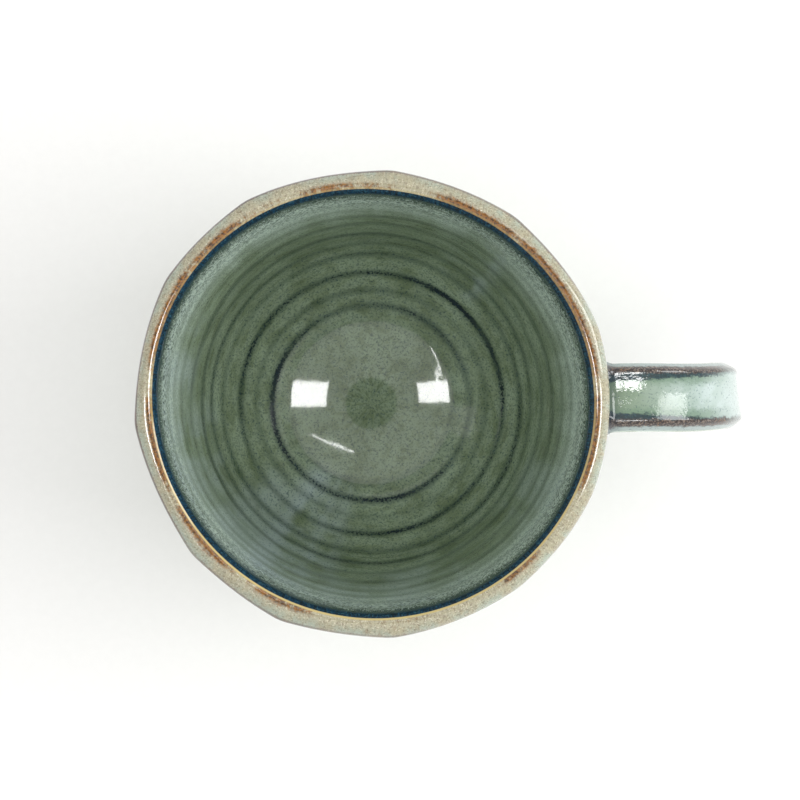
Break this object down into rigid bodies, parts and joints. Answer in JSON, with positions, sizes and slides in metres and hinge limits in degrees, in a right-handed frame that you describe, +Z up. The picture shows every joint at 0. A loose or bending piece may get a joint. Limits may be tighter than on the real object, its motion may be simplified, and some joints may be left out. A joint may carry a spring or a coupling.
{
  "type": "mug",
  "caption": "Stoneware mug with hand-cut facets, a throwing-ringed inside, reactive green glaze, a strap handle and a bare turned foot.",
  "frame": {"origin": "centre of the foot ring, on the surface that the mug stands on", "axes": "+Z up along the cup's axis, +X from the cup's axis along the handle, +Y to the left of the handle seen from the cup"},
  "size_m": [0.1205, 0.0905, 0.085],
  "materials": {
    "fired_clay": "bare, sanded stoneware",
    "joining_slip": "fired slip, hidden under the glaze",
    "green_liner_glaze": "glossy, speckled green that pools dark blue in the rings",
    "breaking_rim_glaze": "glossy, breaks from dark blue to rust and beige over the lip",
    "facet_glaze": "glossy grey-green, rust on the ridges",
    "strap_glaze": "glossy pale green channel between brown ridges"
  },
  "bodies": {
    "root": {"cup_body": "fired_clay", "handle": "fired_clay", "upper_slip_joint": "joining_slip", "lower_slip_joint": "joining_slip", "liner_glaze": "green_liner_glaze", "rim_glaze": "breaking_rim_glaze", "outer_glaze": "facet_glaze", "handle_glaze": "strap_glaze"}
  },
  "joints": []
}
